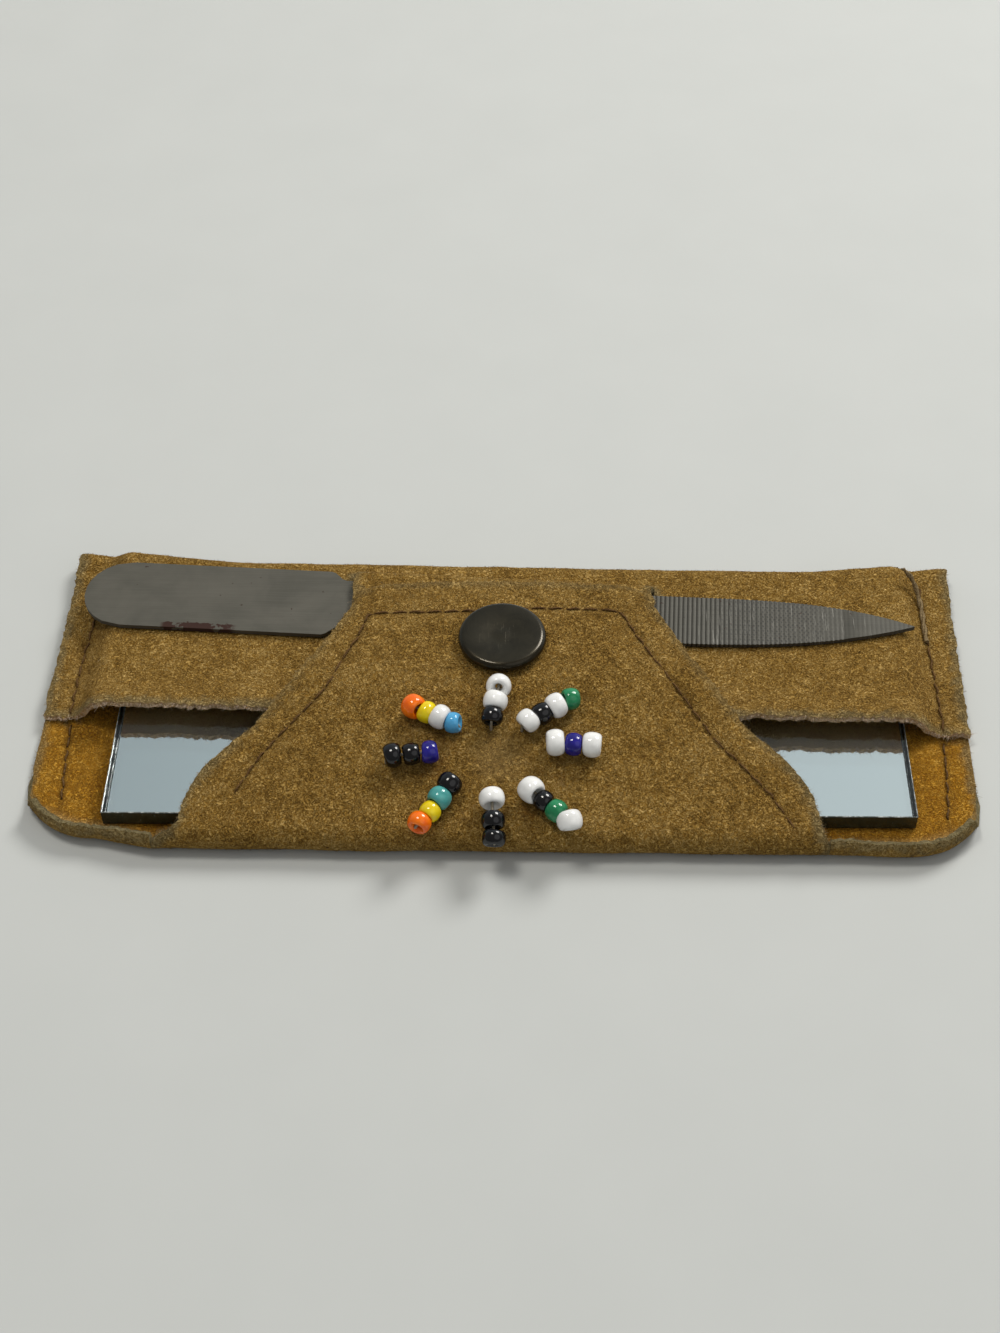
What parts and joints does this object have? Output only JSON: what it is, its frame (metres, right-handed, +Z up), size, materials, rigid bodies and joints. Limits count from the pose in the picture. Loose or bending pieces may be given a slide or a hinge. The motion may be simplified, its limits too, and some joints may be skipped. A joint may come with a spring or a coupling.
{
  "type": "beaded pouch",
  "caption": "Flat suede pocket case with a snap-down beaded flap, holding a mirror and a nail file threaded through slits.",
  "frame": {"origin": "on the table under the middle of the case's back", "axes": "+X along the case to the right with the flap facing up, +Y from the flap's fold to the top fold, +Z up from the table"},
  "size_m": [0.153, 0.0647, 0.0152],
  "materials": {
    "suede": "matte suede nap",
    "lining": "matte suede nap",
    "mirror": "polished silvered glass",
    "steel": "dull, lightly rusted",
    "gunmetal": "dark glossy lacquer",
    "snap_brass": "pressed brass",
    "thread": "grey translucent nylon thread",
    "glass_white": "opaque glossy glass",
    "glass_black": "opaque glossy glass",
    "glass_orange": "opaque glossy glass",
    "glass_yellow": "opaque glossy glass",
    "glass_green": "opaque glossy glass",
    "glass_turquoise": "opaque glossy glass",
    "glass_sky_blue": "opaque glossy glass",
    "glass_navy": "opaque glossy glass"
  },
  "bodies": {
    "pouch": {"mirror": "mirror", "nail_file": "steel", "pouch_body": "suede", "snap_post": "snap_brass", "snap_stud": "snap_brass"},
    "flap": {"bead_01_black": "glass_black", "bead_02_white": "glass_white", "bead_03_white": "glass_white", "bead_04_white": "glass_white", "bead_05_black": "glass_black", "bead_06_white": "glass_white", "bead_07_green": "glass_green", "bead_08_white": "glass_white", "bead_09_navy": "glass_navy", "bead_10_white": "glass_white", "bead_11_white": "glass_white", "bead_12_black": "glass_black", "bead_13_green": "glass_green", "bead_14_white": "glass_white", "bead_15_white": "glass_white", "bead_16_black": "glass_black", "bead_17_black": "glass_black", "bead_18_black": "glass_black", "bead_19_turquoise": "glass_turquoise", "bead_20_yellow": "glass_yellow", "bead_21_orange": "glass_orange", "bead_22_navy": "glass_navy", "bead_23_black": "glass_black", "bead_24_black": "glass_black", "bead_25_sky_blue": "glass_sky_blue", "bead_26_white": "glass_white", "bead_27_yellow": "glass_yellow", "bead_28_orange": "glass_orange", "bead_thread_1": "thread", "bead_thread_2": "thread", "bead_thread_3": "thread", "bead_thread_4": "thread", "bead_thread_5": "thread", "bead_thread_6": "thread", "bead_thread_7": "thread", "bead_thread_8": "thread", "flap": "suede", "flap_lining": "lining", "snap_cap": "gunmetal", "snap_socket": "snap_brass"}
  },
  "joints": [
    {"name": "flap_hinge", "type": "hinge", "parent": "pouch", "child": "flap", "pos_m": [0.00019, -0.0313, 0.003], "axis": [0.9999, 0.0166, 0], "range_deg": [0, 165]}
  ]
}
